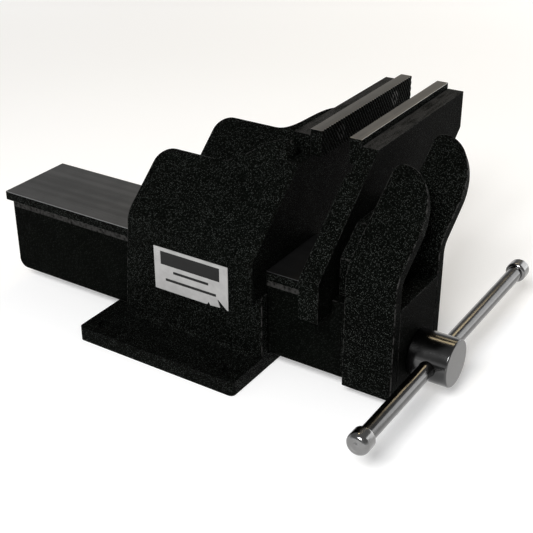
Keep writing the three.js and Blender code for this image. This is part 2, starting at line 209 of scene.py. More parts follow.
room = bpy.data.worlds.new("room")
room.use_nodes = True
sky = Maker(room.node_tree)
direction = sky.node("ShaderNodeTexCoord", out="Generated")
height = sky.node("ShaderNodeSeparateXYZ", None, {"Vector": direction}, "Z")
sockets = {"Value": height, "From Min": 0.05, "From Max": 0.30}
climb = sky.node("ShaderNodeMapRange", {"interpolation_type": "SMOOTHSTEP"}, sockets)
shade = sky.node("ShaderNodeMix", {"data_type": "RGBA"}, {0: climb, 6: grey(0.92), 7: grey(0.28)}, 2)
room.node_tree.links.new(shade.socket, room.node_tree.nodes["Background"].inputs["Color"])
scene.world = room

vise_middle = Vector((0.02, 0.04, 0.08))


def soft_light(name, place, size, power, colour=(1.0, 1.0, 1.0)):
    data = bpy.data.lights.new(name, "AREA")
    data.shape = "RECTANGLE"
    data.size, data.size_y = size
    data.energy = power
    data.color = colour
    light = bpy.data.objects.new(name, data)
    light.location = place
    light.rotation_euler = (Vector(place) - vise_middle).to_track_quat("Z", "Y").to_euler()
    scene.collection.objects.link(light)


warm_white = (1.0, 0.80, 0.48)
soft_light("key_light", (0.35, -1.4, 1.35), (0.8, 0.6), 40.0)
soft_light("ceiling_lamp", (-0.33, 0.77, 1.33), (0.30, 0.26), 1.5, warm_white)
soft_light("back_lamp", (-0.07, 1.25, 1.02), (0.5, 0.26), 1.6, warm_white)
soft_light("right_fill", (0.9, 1.6, 0.5), (1.4, 1.0), 10.0)


# ---- Base plate -----------------------------------------------------------------------------
# A flame-cut steel plate with four bolt holes, broken edges and a coat of black sparkle paint
# over everything. The paint is thin on the edges, where it is rubbed grey; that grey is also a
# painted highlight along them.

paint_black = (0.0005, 0.0006, 0.00045, 1.0)
paint_haze = (0.0013, 0.0016, 0.0012, 1.0)
paint_fleck = (0.060, 0.066, 0.061, 1.0)
# Grey of steel rubbed bare on scraped faces; on the edges it is also a painted highlight.
rubbed_and_highlit_steel = grey(0.055, 0.03)
fleck_size = 0.0008
edge_radius = 0.0007
sawn_edge_radius = 0.0005
fine_edge_radius = 0.0003


def black_paint(name, sparkle):
    """Sparkle paint; sparkle is 1 for fresh paint and less where it is rubbed smooth."""
    paint = Finish(name)
    sockets = {"Vector": paint.stretched((1 / fleck_size,) * 3), "Scale": 1.0}
    cell = paint.node("ShaderNodeTexVoronoi", None, sockets, "Distance")
    tint = paint.node("ShaderNodeTexVoronoi", None, sockets, "Color")
    chance = paint.node("ShaderNodeSeparateColor", None, {"Color": tint}, "Red")
    patches = paint.grain(0.018, detail=4.0)
    fine = paint.grain(0.0005, detail=2.0)
    fleck = paint.ramp(chance + patches * 0.4, 0.58, 1.12) * paint.ramp(cell, 0.45, 0.2)
    fleck = (fleck + paint.ramp(fine, 0.56, 0.74) * 0.2) * sparkle
    coat = paint.mix(paint.ramp(fine + patches * 0.4, 0.5, 0.95), paint_black, paint_haze)
    coat = paint.mix(fleck * 0.8, coat, paint_fleck)
    edge = paint.node("ShaderNodeAttribute", {"attribute_name": "edge"}, None, "Fac")
    rubbed = paint.node("ShaderNodeAttribute", {"attribute_name": "rubbed"}, None, "Fac")
    # Rubbed grey on the edges: partly real wear, partly a painted highlight along them.
    edge_wear_and_highlight = edge * paint.ramp(paint.grain(0.004, detail=5.0), 0.42, 0.62) * 0.5
    scuffed = rubbed * paint.ramp(paint.grain(0.0025, (1.0, 8.0, 1.0), 4.0), 0.25, 0.6)
    paint.surface({
        "Base Color": paint.mix(edge_wear_and_highlight + scuffed * 0.45, coat, rubbed_and_highlit_steel),
        "Roughness": 0.52 - fleck * 0.2 - edge_wear_and_highlight * 0.15,
        "Metallic": (edge_wear_and_highlight + fleck * 0.5) * 0.8,
        "Specular IOR Level": 0.007,
    })
    paint.bump(paint.ramp(cell, 0.8, 0.1) + fine * 0.8, 0.00028, 0.8 * sparkle)
    return paint.material


black = black_paint("black_sparkle_paint", 1.0)


def clean_copy(node):
    """A CAD node's solid with its doubles merged and its flat faces whole again."""
    solid = bmesh.new()
    solid.from_mesh(nodes[node].data)
    bmesh.ops.remove_doubles(solid, verts=solid.verts, dist=1e-6)
    flat = math.radians(0.5)
    bmesh.ops.dissolve_limit(solid, angle_limit=flat, verts=solid.verts, edges=solid.edges)
    bmesh.ops.recalc_face_normals(solid, faces=solid.faces)
    return solid


def broken_edges(solid, radius, sharp=math.radians(28), steps=2):
    """Rounds a solid's sharp outer edges a little and marks the rounded faces as edges."""
    edge_mark = solid.faces.layers.float.new("edge")
    picked = [e for e in solid.edges if e.is_convex and e.calc_face_angle(0.0) > sharp]
    made = bmesh.ops.bevel(
        solid, geom=picked, offset=radius, segments=steps, profile=0.5, affect="EDGES", clamp_overlap=True,
    )
    for face in made["faces"]:
        face[edge_mark] = 1.0
    return solid


def plain_mesh(thing):
    """The object's evaluated shape as a mesh of its own."""
    graph = bpy.context.evaluated_depsgraph_get()
    return bpy.data.meshes.new_from_object(thing.evaluated_get(graph), depsgraph=graph)


def add_piece(name, mesh, body, slot, stands_for, *materials):
    """Shades a finished mesh, with flat faces kept flat, and lets it ride on its CAD body."""
    mesh.materials.clear()
    for material in materials:
        mesh.materials.append(material)
    mesh.shade_smooth()
    mesh.set_sharp_from_angle(angle=math.radians(38))
    piece = bpy.data.objects.new(name, mesh)
    scene.collection.objects.link(piece)
    normals = piece.modifiers.new("normals", "WEIGHTED_NORMAL")
    normals.keep_sharp = True
    piece.data = plain_mesh(piece)
    piece.data.name = name
    piece.modifiers.remove(normals)
    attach(piece, body)
    if stands_for:
        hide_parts(*stands_for)
    return piece


def add_solid(name, solid, body, slot, stands_for, *materials):
    mesh = bpy.data.meshes.new(name)
    solid.to_mesh(mesh)
    solid.free()
    return add_piece(name, mesh, body, slot, stands_for, *materials)


base = broken_edges(clean_copy("base_plate"), edge_radius)
add_solid("painted_base_plate", base, "fixed_body", "black_paint", ["base_plate"], black)
base_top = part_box("base_plate")[1].z


# ---- Side plates ----------------------------------------------------------------------------
# Two steel plates, cut as flat blanks, bent once in a press and welded to the base. Above the
# bend they lean towards the jaws, and their upper edge climbs to meet the fixed jaw plate. A flat
# bar between them keeps the slide down.

jaw_slope = math.atan2(0.0715, 0.083)
side_thickness = 0.008
side_bend = 0.10427
side_inner_radius = 0.006
side_back = -0.050
side_back_rise = 0.062
side_front_rise = 0.092
side_corner = 0.015
side_flat_end = 0.006
tab_bottom = 0.066
seam_gap = 0.0003


def arc(middle, radii, start, end, steps=10):
    """Points on an ellipse round middle, from one angle in degrees to another."""
    turns = [math.radians(start + (end - start) * i / steps) for i in range(steps + 1)]
    return [(middle[0] + radii[0] * math.cos(t), middle[1] + radii[1] * math.sin(t)) for t in turns]


def bezier(a, b, c, d, steps=16):
    def point(t):
        s = 1 - t
        weights = (s * s * s, 3 * s * s * t, 3 * s * t * t, t * t * t)
        return tuple(sum(w * p[i] for w, p in zip(weights, (a, b, c, d))) for i in (0, 1))

    return [point(i / steps) for i in range(steps + 1)]


def bent_plate(outline, thickness, inner_radius, face, bend, lean):
    """Cuts a blank along an outline of X and the distance above the bend line, and bends it.

    face is the Y of the plate's left side below the bend, and lean its slope above the bend.
    """
    turn = math.pi / 2 - lean
    outer_radius = inner_radius + thickness
    tangent = outer_radius * math.tan(turn / 2)
    blank = bmesh.new()
    sheet = blank.faces.new([blank.verts.new((x, rise, 0.0)) for x, rise in outline])
    pushed = bmesh.ops.extrude_face_region(blank, geom=[sheet])
    raised = [v for v in pushed["geom"] if isinstance(v, bmesh.types.BMVert)]
    bmesh.ops.translate(blank, verts=raised, vec=(0.0, 0.0, thickness))
    bmesh.ops.recalc_face_normals(blank, faces=blank.faces)
    broken_edges(blank, edge_radius)
    steps = 10
    for i in range(steps + 1):
        whole = blank.verts[:] + blank.edges[:] + blank.faces[:]
        line = (0.0, tangent * (2 * i / steps - 1), 0.0)
        bmesh.ops.bisect_plane(blank, geom=whole, dist=1e-7, plane_co=line, plane_no=(0, 1, 0))
    for vertex in blank.verts:
        x, rise, depth = vertex.co
        if rise <= -tangent:
            y, z = face + depth, bend + rise
        elif rise >= tangent:
            y = face + rise * math.cos(lean) + depth * math.sin(lean)
            z = bend + rise * math.sin(lean) - depth * math.cos(lean)
        else:
            angle = (rise / tangent + 1) / 2 * turn
            y = face + outer_radius - (outer_radius - depth) * math.cos(angle)
            z = bend - tangent + (outer_radius - depth) * math.sin(angle)
        vertex.co = (x, y, z)
    bmesh.ops.recalc_face_normals(blank, faces=blank.faces)
    return blank


side_low, side_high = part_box("side_plate_left")
side_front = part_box("fixed_jaw_plate")[0].x - seam_gap
climb = side_front - side_flat_end
side_outline = [
    (side_low.x, side_low.z - side_bend),
    (side_high.x, side_low.z - side_bend),
    (side_high.x, tab_bottom - seam_gap - side_bend),
    (side_front, tab_bottom - seam_gap - side_bend),
    *bezier(
        (side_front, side_front_rise),
        (side_front - climb * 0.45, side_front_rise),
        (side_flat_end + climb * 0.4, side_back_rise),
        (side_flat_end, side_back_rise),
    ),
    *arc((side_back + side_corner, side_back_rise - side_corner), (side_corner, side_corner), 90, 180),
    (side_back, 0.0),
]
for side in ("left", "right"):
    node = f"side_plate_{side}"
    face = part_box(node)[0].y
    plate = bent_plate(side_outline, side_thickness, side_inner_radius, face, side_bend, jaw_slope)
    add_solid(f"painted_{node}", plate, "fixed_body", "black_paint", [node], black)

keeper = broken_edges(clean_copy("slide_keeper"), edge_radius)
add_solid("painted_slide_keeper", keeper, "fixed_body", "black_paint", ["slide_keeper"], black)


# ---- Jaw plates -----------------------------------------------------------------------------
# One thick plate closes the fixed body and one stands on the slide. They are painted with the
# rest, but their top ledges behind the inserts are scraped and show grey through the paint.

jaw_plate_top = 0.170
level_slack = 0.0002


def rub_ledge(solid, height):
    """Marks the level faces at one height as rubbed."""
    rub_mark = solid.faces.layers.float.new("rubbed")
    for face in solid.faces:
        if face.normal.z > 0.99 and abs(face.calc_center_median().z - height) < level_slack:
            face[rub_mark] = 1.0


for name, body in (("fixed_jaw_plate", "fixed_body"), ("moving_jaw_plate", "moving_jaw")):
    plate = broken_edges(clean_copy(name), edge_radius)
    rub_ledge(plate, jaw_plate_top)
    add_solid(f"painted_{name}", plate, body, "black_paint", [name], black)


# ---- Jaw inserts ----------------------------------------------------------------------------
# Hardened steel bars in a milled seat, with slanting teeth across the gripping face. The vise
# was painted with them in place, and then their tops were ground bare.

tooth_pitch = 0.0036
tooth_depth = 0.0005
tooth_slant = math.radians(35)
groove_share = 0.36
groove_length = 0.06


class Recipe(Maker):
    """A Geometry Nodes tree with named sizes that ends in one plain mesh."""

    def __init__(self, name, **sizes):
        super().__init__(bpy.data.node_groups.new(name, "GeometryNodeTree"))
        self.name = name
        self.sizes = sizes
        self.tree.interface.new_socket("Geometry", in_out="INPUT", socket_type="NodeSocketGeometry")
        self.keys = {}
        for label in sizes:
            socket = self.tree.interface.new_socket(label, in_out="INPUT", socket_type="NodeSocketFloat")
            self.keys[label] = socket.identifier
        self.tree.interface.new_socket("Geometry", in_out="OUTPUT", socket_type="NodeSocketGeometry")
        self.entry = self.tree.nodes.new("NodeGroupInput")
        self.start = Field(self, self.entry.outputs["Geometry"])

    def size(self, label):
        return Field(self, self.entry.outputs[label])

    def vector(self, x=0.0, y=0.0, z=0.0):
        return self.node("ShaderNodeCombineXYZ", None, {"X": x, "Y": y, "Z": z})

    def close(self, geometry, material):
        whole = self.node("GeometryNodeRealizeInstances", None, {"Geometry": geometry})
        sockets = {"Geometry": whole, "Material": material}
        finished = self.node("GeometryNodeSetMaterial", None, sockets)
        leave = self.tree.nodes.new("NodeGroupOutput")
        self.tree.links.new(finished.socket, leave.inputs["Geometry"])

    def make(self, start):
        """Runs the tree on a starting mesh and gives the result as a plain mesh."""
        thing = bpy.data.objects.new(self.name, start)
        scene.collection.objects.link(thing)
        modifier = thing.modifiers.new(self.name, "NODES")
        modifier.node_group = self.tree
        for label, value in self.sizes.items():
            modifier[self.keys[label]] = value
        mesh = plain_mesh(thing)
        thing.modifiers.remove(modifier)
        bpy.data.objects.remove(thing)
        return mesh


def teeth(face_x, length):
    """Cuts slanting V grooves into a bar whose gripping face stands at face_x."""
    count = int(length / tooth_pitch) + 8
    recipe = Recipe("jaw_teeth", Pitch=tooth_pitch, Depth=tooth_depth, Slant=tooth_slant)
    cutter = recipe.node(
        "GeometryNodeMeshCylinder", {"fill_type": "NGON"}, {"Vertices": 4, "Radius": 1.0, "Depth": 1.0},
    )
    groove = recipe.vector(recipe.size("Depth"), recipe.size("Pitch") * groove_share, groove_length)
    cutter = recipe.node("GeometryNodeTransform", None, {"Geometry": cutter, "Scale": groove})
    slanted = recipe.vector(recipe.size("Slant"), 0.0, 0.0)
    cutter = recipe.node("GeometryNodeTransform", None, {"Geometry": cutter, "Rotation": slanted})
    bar_low, bar_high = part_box("fixed_jaw_insert")
    middle_z = (bar_low.z + bar_high.z) / 2
    row = recipe.node(
        "GeometryNodeMeshLine", {"mode": "OFFSET"},
        {
            "Count": count,
            "Start Location": (face_x, bar_low.y - 4 * tooth_pitch, middle_z),
            "Offset": recipe.vector(0.0, recipe.size("Pitch"), 0.0),
        },
    )
    placed = recipe.node("GeometryNodeInstanceOnPoints", None, {"Points": row, "Instance": cutter})
    placed = recipe.node("GeometryNodeRealizeInstances", None, {"Geometry": placed})
    cut = recipe.node(
        "GeometryNodeMeshBoolean", {"operation": "DIFFERENCE", "solver": "EXACT"},
        {"Mesh 1": recipe.start, "Mesh 2": placed},
    )
    recipe.close(cut, black)
    return recipe


def ground_steel(name, shade, warmth, along, painted_shade_from=1.0):
    """Bare ground steel: fine lines along one axis, a few dark marks, a painted highlight on its edges,
    and painted shade past one X.
    """
    steel = Finish(name)
    lines = steel.grain(0.0004, along, 3.0)
    clouds = steel.grain(0.015, detail=3.0)
    spots = steel.ramp(steel.grain(0.0012, detail=4.0), 0.66, 0.74)
    bands = steel.grain(0.007, along, 2.0)
    edge = steel.node("ShaderNodeAttribute", {"attribute_name": "edge"}, None, "Fac")
    far_forward = steel.node("ShaderNodeSeparateXYZ", None, {"Vector": steel.place}, "X")
    # Painted shade: the steel turns dark past one X, for the shaded gap in front of the fixed jaw.
    painted_shade = steel.ramp(far_forward + clouds * 0.02, painted_shade_from, painted_shade_from + 0.02)
    wear = steel.ramp(clouds * 0.3 + lines * 0.2 + bands * 0.5, 0.36, 0.64)
    tone = steel.mix(wear, grey(shade * 0.75, warmth), grey(shade * 1.2, warmth))
    # Painted highlight: the rounded edges are made three times lighter.
    tone = steel.mix(edge * 0.8, tone, grey(shade * 3.0, warmth))
    steel.surface({
        "Base Color": steel.mix(spots * 0.6 + painted_shade * 0.9, tone, grey(shade * 0.15, warmth)),
        "Roughness": 0.36 + clouds * 0.14 + spots * 0.2,
        "Metallic": 0.85,
    })
    steel.bump(lines, 0.00004, 0.5)
    return steel.material


insert_steel = ground_steel("ground_insert_steel", 0.11, 0.0, (1.0, 60.0, 1.0))
for name, body in (("fixed_jaw_insert", "fixed_body"), ("moving_jaw_insert", "moving_jaw")):
    low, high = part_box(name)
    bar = bmesh.new()
    bmesh.ops.create_cube(bar, size=1.0)
    bmesh.ops.scale(bar, verts=bar.verts, vec=high - low)
    bmesh.ops.translate(bar, verts=bar.verts, vec=(high + low) / 2)
    broken_edges(bar, fine_edge_radius)
    blank = bpy.data.meshes.new(name)
    bar.to_mesh(blank)
    bar.free()
    grip = high.x if body == "fixed_body" else low.x
    mesh = teeth(grip, high.y - low.y).make(blank)
    piece = add_piece(f"toothed_{name}", mesh, body, "hard_steel", [name], black, insert_steel)
    for polygon in piece.data.polygons:
        polygon.material_index = int(polygon.center.z > high.z - level_slack)


# ---- Screws ---------------------------------------------------------------------------------
# Countersunk socket screws, blackened by the heat treatment. Two go through each insert into
# its jaw plate, and two come up through the base plate into the nut.


def steel_finish(name, shade, warmth, roughness, streak, metallic=0.95):
    """Machined steel with streaks along one axis and thin smears of old oil."""
    steel = Finish(name)
    lines = steel.grain(0.0005, streak, 3.0)
    smears = steel.ramp(steel.grain(0.012, detail=5.0), 0.45, 0.7)
    tone = steel.mix(lines, grey(shade * 0.7, warmth), grey(shade * 1.25, warmth))
    steel.surface({
        "Base Color": steel.mix(smears * 0.45, tone, grey(shade * 0.35, warmth + 0.1)),
        "Roughness": roughness + lines * 0.12 - smears * 0.1,
        "Metallic": metallic,
    })
    steel.bump(lines, 0.00004, 0.6)
    return steel.material


screw_steel = steel_finish("blackened_screw_steel", 0.03, 0.02, 0.45, (1.0, 1.0, 1.0))


def screw_recipe(name, head, shank, head_depth, length, key, turn):
    """A countersunk screw with a hexagon socket, set on every point of the starting mesh."""
    recipe = Recipe(name, Head=head, Shank=shank, HeadDepth=head_depth, Length=length, Key=key)
    depth, reach = recipe.size("HeadDepth"), recipe.size("Length") - recipe.size("HeadDepth") * 0.5
    cone = recipe.node(
        "GeometryNodeMeshCone", {"fill_type": "NGON"},
        {
            "Vertices": 48, "Radius Top": recipe.size("Head"),
            "Radius Bottom": recipe.size("Shank"), "Depth": depth,
        },
    )
    below = recipe.vector(0.0, 0.0, depth * -1.0)
    cone = recipe.node("GeometryNodeTransform", None, {"Geometry": cone, "Translation": below})
    shaft = recipe.node(
        "GeometryNodeMeshCylinder", {"fill_type": "NGON"},
        {"Vertices": 48, "Radius": recipe.size("Shank"), "Depth": reach},
    )
    middle = recipe.vector(0.0, 0.0, (depth + reach) * -0.5)
    shaft = recipe.node("GeometryNodeTransform", None, {"Geometry": shaft, "Translation": middle})
    socket = recipe.node(
        "GeometryNodeMeshCylinder", {"fill_type": "NGON"},
        {"Vertices": 6, "Radius": recipe.size("Key"), "Depth": depth * 1.4},
    )
    both = recipe.node("GeometryNodeJoinGeometry", None, {"Geometry": cone})
    recipe.tree.links.new(shaft.socket, both.socket.node.inputs["Geometry"])
    whole = recipe.node(
        "GeometryNodeMeshBoolean", {"operation": "DIFFERENCE", "solver": "EXACT"},
        {"Mesh 1": both, "Mesh 2": socket, "Self Intersection": True},
    )
    placed = recipe.node(
        "GeometryNodeInstanceOnPoints", None,
        {"Points": recipe.start, "Instance": whole, "Rotation": turn},
    )
    recipe.close(placed, screw_steel)
    return recipe


def screw_set(name, body, heads, recipe, face_axis, face_end):
    """One screw for each CAD node in heads, with its face at that end of the node's box."""
    places = []
    for node in heads:
        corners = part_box(node)
        place = (corners[0] + corners[1]) / 2
        place[face_axis] = corners[face_end][face_axis]
        places.append(tuple(place))
    points = bpy.data.meshes.new(name)
    points.from_pydata(places, [], [])
    return add_piece(name, recipe.make(points), body, "plain_steel", heads, screw_steel)


insert_sizes = (0.006, 0.003, 0.0035, 0.018, 0.0023)
quarter = math.pi / 2
facing_front = screw_recipe("insert_screw_front", *insert_sizes, (0.0, quarter, 0.0))
facing_back = screw_recipe("insert_screw_back", *insert_sizes, (0.0, -quarter, 0.0))
screw_set(
    "fixed_insert_screws", "fixed_body",
    ["fixed_insert_screw_left", "fixed_insert_screw_right"], facing_front, 0, 1,
)
screw_set(
    "moving_insert_screws", "moving_jaw",
    ["moving_insert_screw_left", "moving_insert_screw_right"], facing_back, 0, 0,
)
facing_down = screw_recipe("nut_screw", 0.0075, 0.004, 0.0045, 0.035, 0.0029, (math.pi, 0.0, 0.0))
screw_set("nut_screws", "fixed_body", ["nut_screw_left", "nut_screw_right"], facing_down, 2, 0)


# ---- Spindle nut ----------------------------------------------------------------------------
# A sawn steel block with the spindle's thread cut through it, hidden inside the slide and
# greased. Two screws from under the base hold it.

nut_steel = steel_finish("oiled_nut_steel", 0.16, 0.08, 0.34, (1.0, 30.0, 1.0))
add_solid(
    "machined_spindle_nut", broken_edges(clean_copy("spindle_nut"), sawn_edge_radius),
    "fixed_body", "plain_steel", ["spindle_nut"], nut_steel,
)


# ---- Label ----------------------------------------------------------------------------------
# A thin silvered foil stuck to the left side plate, torn at its lower front corner. It carries
# a plain dark band and two plain rules in place of any wording.

label_low, label_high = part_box("label_plate")
label_size = label_high - label_low


def label_finish():
    foil = Finish("printed_foil")
    split = {"Vector": foil.place}
    across_label = foil.node("ShaderNodeSeparateXYZ", None, split, "X") - label_low.x
    up_label = foil.node("ShaderNodeSeparateXYZ", None, split, "Z") - label_low.z
    u, v = across_label * (1 / label_size.x), up_label * (1 / label_size.z)

    def bar(left, right, bottom, top):
        return (u > left) * (u < right) * (v > bottom) * (v < top)

    band = bar(0.09, 0.89, 0.61, 0.92)
    rules = bar(0.26, 0.74, 0.45, 0.51) + bar(0.15, 0.84, 0.24, 0.30)
    crinkle = foil.grain(0.006, detail=4.0)
    ground = foil.mix(crinkle, grey(0.27, 0.01), grey(0.40, 0.01))
    print_ink = foil.mix(crinkle, grey(0.004), grey(0.008))
    ink = band + rules
    foil.surface({
        "Base Color": foil.mix(ink, ground, print_ink),
        "Roughness": 0.42 + crinkle * 0.1,
        "Metallic": 0.35 - ink * 0.35,
        "Specular IOR Level": 0.2,
    })
    foil.bump(crinkle, 0.0002, 0.4)
    return foil.material


label_outline = [
    (0.0, 0.0), (0.715, 0.0), (0.74, 0.07), (0.76, 0.0), (0.89, 0.015), (0.855, 0.21),
    (0.985, 0.0), (1.0, 0.0), (1.0, 1.0), (0.0, 1.0),
]
label = bmesh.new()
label_face = label.faces.new([
    label.verts.new((label_low.x + u * label_size.x, label_low.y, label_low.z + v * label_size.z))
    for u, v in label_outline
])
pushed = bmesh.ops.extrude_face_region(label, geom=[label_face])
label_back = [v for v in pushed["geom"] if isinstance(v, bmesh.types.BMVert)]
bmesh.ops.translate(label, verts=label_back, vec=(0.0, label_size.y * 0.9, 0.0))
bmesh.ops.recalc_face_normals(label, faces=label.faces)
add_solid("torn_label", label, "fixed_body", "foil_label", ["label_plate"], label_finish())


# ---- Slide ----------------------------------------------------------------------------------
# A pressed channel, open below, that carries the moving jaw; its sides are rubbed smooth and bare
# along the top. The plate welded on it is painted round its sides and ground on top, where it has
# gone grey and streaked from sliding under the keeper. Its ground edges carry a painted highlight,
# and from the fixed jaw forward its top is painted dark as shade.

smooth_black = black_paint("smooth_slide_paint", 0.3)
channel = broken_edges(clean_copy("slide_channel"), edge_radius)
rub_strip = 0.0047
strip_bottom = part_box("slide_channel")[1].z - rub_strip
strip_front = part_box("moving_jaw_plate")[0].x
for place, facing in (((0, 0, strip_bottom), (0, 0, 1)), ((strip_front, 0, 0), (1, 0, 0))):
    whole = channel.verts[:] + channel.edges[:] + channel.faces[:]
    bmesh.ops.bisect_plane(channel, geom=whole, dist=1e-7, plane_co=place, plane_no=facing)
strip_mark = channel.faces.layers.float.new("rubbed")
for face in channel.faces:
    middle = face.calc_center_median()
    if middle.z > strip_bottom and middle.x < strip_front and abs(face.normal.y) > 0.9:
        face[strip_mark] = 1.0
add_solid("painted_slide_channel", channel, "moving_jaw", "black_paint", ["slide_channel"], smooth_black)
# The last value is where the painted shade starts, in front of the fixed jaw.
slide_steel = ground_steel("ground_slide_steel", 0.10, -0.01, (70.0, 1.0, 1.0), 0.06)
top_plate = add_solid(
    "ground_slide_top_plate", broken_edges(clean_copy("slide_top_plate"), sawn_edge_radius),
    "moving_jaw", "ground_steel", ["slide_top_plate"], slide_steel, black,
)
side_tilt = 0.3
for polygon in top_plate.data.polygons:
    polygon.material_index = int(polygon.normal.z < side_tilt)


# ---- Brace, wings and nose ------------------------------------------------------------------
# The front of the moving jaw is a box of welded plates: a brace against the jaw plate, two bent
# wings that carry the thrust up to the jaw, and a thick nose that the spindle pulls and pushes.

wing_thickness = 0.009
wing_inner_radius = 0.013
wing_bend = 0.1065
wing_lean = math.radians(37.2)
wing_rise = 0.091
wing_curve = 0.053
wing_corner = 0.007

add_solid(
    "painted_jaw_brace", broken_edges(clean_copy("jaw_brace_plate"), edge_radius),
    "moving_jaw", "black_paint", ["jaw_brace_plate"], black,
)
wing_low, wing_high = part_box("jaw_wing_left")
wing_depth = wing_high.x - wing_low.x
wing_arc_x = wing_low.x + wing_corner
wing_outline = [
    (wing_low.x, wing_low.z - wing_bend),
    (wing_high.x, wing_low.z - wing_bend),
    *arc((wing_arc_x, wing_rise - wing_curve), (wing_depth - wing_corner, wing_curve), 0, 90, 24),
    *arc((wing_arc_x, wing_rise - wing_corner), (wing_corner, wing_corner), 90, 180)[1:],
]
for side in ("left", "right"):
    node = f"jaw_wing_{side}"
    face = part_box(node)[0].y
    plate = bent_plate(wing_outline, wing_thickness, wing_inner_radius, face, wing_bend, wing_lean)
    add_solid(f"painted_{node}", plate, "moving_jaw", "black_paint", [node], black)

add_solid(
    "painted_nose_plate", broken_edges(clean_copy("nose_plate"), fine_edge_radius),
    "moving_jaw", "black_paint", ["nose_plate"], black,
)


# ---- Welds ----------------------------------------------------------------------------------
# Rippled fillet beads of weld steel, run by hand along the plates' corners before painting. Two
# heavier beads fill the corner where the left side plate meets the stepped jaw plate.


def weld_beads(name, body, runs, leg=0.0042, ripple=0.0026):
    """A bead of the given leg along each run of points."""
    points, edges = [], []
    for run in runs:
        edges += [(len(points) + i, len(points) + i + 1) for i in range(len(run) - 1)]
        points += run
    start = bpy.data.meshes.new(name)
    start.from_pydata(points, edges, [])
    recipe = Recipe(name, Leg=leg, Ripple=ripple)
    line = recipe.node("GeometryNodeMeshToCurve", None, {"Mesh": recipe.start})
    line = recipe.node("GeometryNodeResampleCurve", {"mode": "LENGTH"}, {"Curve": line, "Length": 0.0006})
    along = recipe.node("GeometryNodeSplineParameter", out="Length")
    wave = along.maths("SINE", along / recipe.size("Ripple") * (2 * math.pi))
    uneven = recipe.node("ShaderNodeTexNoise", None, {"Scale": 90.0, "Detail": 2.0}, "Fac")
    done = recipe.node("GeometryNodeSplineParameter", out="Factor")
    end = done.maths("MINIMUM", done, 1.0 - done) * 16.0
    taper = end.maths("MINIMUM", end, 1.0)
    size = recipe.size("Leg") * (wave * 0.05 + uneven * 0.35 + 0.83) * taper
    sockets = {"Resolution": 14, "Radius": 1.0}
    ring = recipe.node("GeometryNodeCurvePrimitiveCircle", {"mode": "RADIUS"}, sockets)
    sockets = {"Curve": line, "Profile Curve": ring, "Scale": size, "Fill Caps": True}
    recipe.close(recipe.node("GeometryNodeCurveToMesh", None, sockets), black)
    mesh = recipe.make(start)
    return add_piece(name, mesh, body, "black_paint", [], black)


inset = 0.003
fixed_runs = []
for side, outward in (("left", -1), ("right", 1)):
    low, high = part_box(f"side_plate_{side}")
    face = low.y if outward < 0 else low.y + side_thickness
    fixed_runs.append([(low.x + inset, face, base_top), (high.x - inset, face, base_top)])
    fixed_runs.append([(side_front, face, tab_bottom + inset), (side_front, face, side_bend - inset)])
weld_beads("fixed_body_welds", "fixed_body", fixed_runs)

corner_depths = (0.002, 0.006)
corner_rises = (0.068, 0.0895)
corner_reach = 0.001
corner_runs = []
for depth in corner_depths:
    run = []
    for rise in corner_rises:
        y = side_low.y + rise * math.cos(jaw_slope) + depth * math.sin(jaw_slope)
        z = side_bend + rise * math.sin(jaw_slope) - depth * math.cos(jaw_slope)
        run.append((side_front + corner_reach, y, z))
    corner_runs.append(run)
weld_beads("jaw_corner_weld", "fixed_body", corner_runs, leg=0.0055)

channel_low, channel_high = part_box("slide_channel")
moving_runs = []
for edge in (channel_low.y, channel_high.y):
    ends = (channel_low.z + inset, channel_high.z - inset)
    moving_runs.append([(channel_high.x, edge, z) for z in ends])
weld_beads("moving_jaw_welds", "moving_jaw", moving_runs, leg=0.0028)


# ---- Spindle --------------------------------------------------------------------------------
# A steel screw with a single right-hand thread of 5 mm pitch, turned down to a journal where it
# passes through the nose. A washer takes the thrust, and a pinned collar pulls the jaw open.

thread_pitch = 0.005
thread_depth = 0.0025
journal_radius = 0.009
spindle_low, spindle_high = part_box("spindle")
spindle_radius = (spindle_high.y - spindle_low.y) / 2
spindle_axis = (spindle_low.z + spindle_high.z) / 2
collar_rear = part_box("retaining_collar")[0].x
plain_end = 0.012


def turned(profile, middle, axis, steps=96):
    """A turned part: profile is the place along the axis and the radius, from end to end."""
    solid = bmesh.new()

    def ring(along, radius):
        around = range(steps) if radius > 0 else range(1)
        verts = []
        for i in around:
            turn = 2 * math.pi * i / steps
            place = [middle[0] + radius * math.cos(turn), middle[1] + radius * math.sin(turn)]
            place.insert(axis, along)
            verts.append(solid.verts.new(place))
        return verts

    rings = [ring(along, radius) for along, radius in profile]
    for a, b in zip(rings, rings[1:]):
        for i in range(steps):
            j = (i + 1) % steps
            corners = [a[i % len(a)], a[j % len(a)], b[j % len(b)], b[i % len(b)]]
            solid.faces.new(list(dict.fromkeys(corners)))
    for end in (rings[0], rings[-1]):
        if len(end) > 1:
            solid.faces.new(end)
    bmesh.ops.recalc_face_normals(solid, faces=solid.faces)
    return solid


def rounded(along, radius, rim, facing, steps=4):
    """The turned corner of a shoulder, facing -1 towards lower places or 1 towards higher ones."""
    points = []
    for i in range(steps + 1):
        turn = math.pi / 2 * i / steps
        out = radius - rim + rim * math.sin(turn)
        points.append((along - facing * (rim - rim * math.cos(turn)), out))
    return points if facing < 0 else points[::-1]


